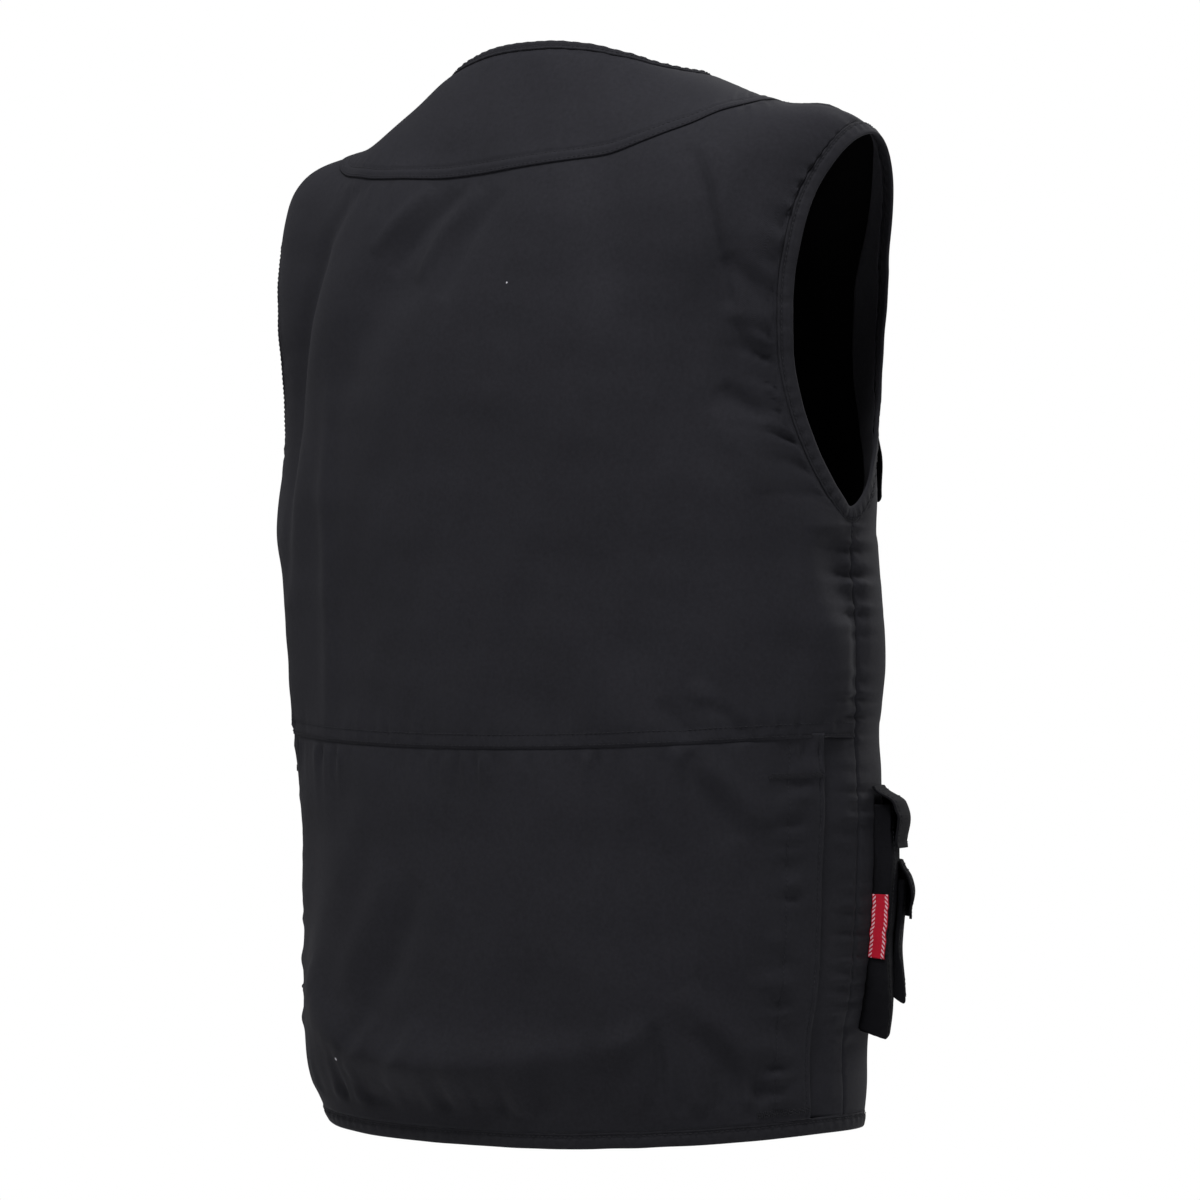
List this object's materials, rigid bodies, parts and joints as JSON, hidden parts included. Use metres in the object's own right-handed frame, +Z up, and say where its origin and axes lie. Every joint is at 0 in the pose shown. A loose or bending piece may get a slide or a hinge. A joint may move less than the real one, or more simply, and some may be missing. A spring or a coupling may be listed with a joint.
{
  "type": "utility work vest",
  "caption": "Sleeveless zipped work vest in black cloth with a back yoke, bound edges, a wide back pocket and flapped front pockets, in its worn shape.",
  "frame": {"origin": "midway between the two points where the shoulders meet the neck, which is where the vest sits on its wearer", "axes": "+Z up along the body, the front faces -Y, +X is the wearer's left"},
  "size_m": [0.4292, 0.2618, 0.674],
  "materials": {
    "cloth": "matt black cotton and polyester twill",
    "binding": "matt black twill tape",
    "zip": "black moulded teeth on woven tape",
    "label": "woven red label, blank"
  },
  "bodies": {
    "root": {"back_panel": "cloth", "back_pocket": "cloth", "back_side_left": "cloth", "back_side_right": "cloth", "yoke": "cloth", "front_left": "cloth", "front_right": "cloth", "armhole_binding_left": "binding", "armhole_binding_right": "binding", "hem_binding": "binding", "neck_binding": "binding", "lower_pocket_left": "cloth", "lower_flap_left": "cloth", "outer_pocket_left": "cloth", "outer_flap_left": "cloth", "chest_pocket_left": "cloth", "chest_flap_left": "cloth", "lower_pocket_right": "cloth", "lower_flap_right": "cloth", "outer_pocket_right": "cloth", "outer_flap_right": "cloth", "chest_pocket_right": "cloth", "chest_flap_right": "cloth", "zip": "zip", "zip_slider": "zip", "label": "label"}
  },
  "joints": []
}
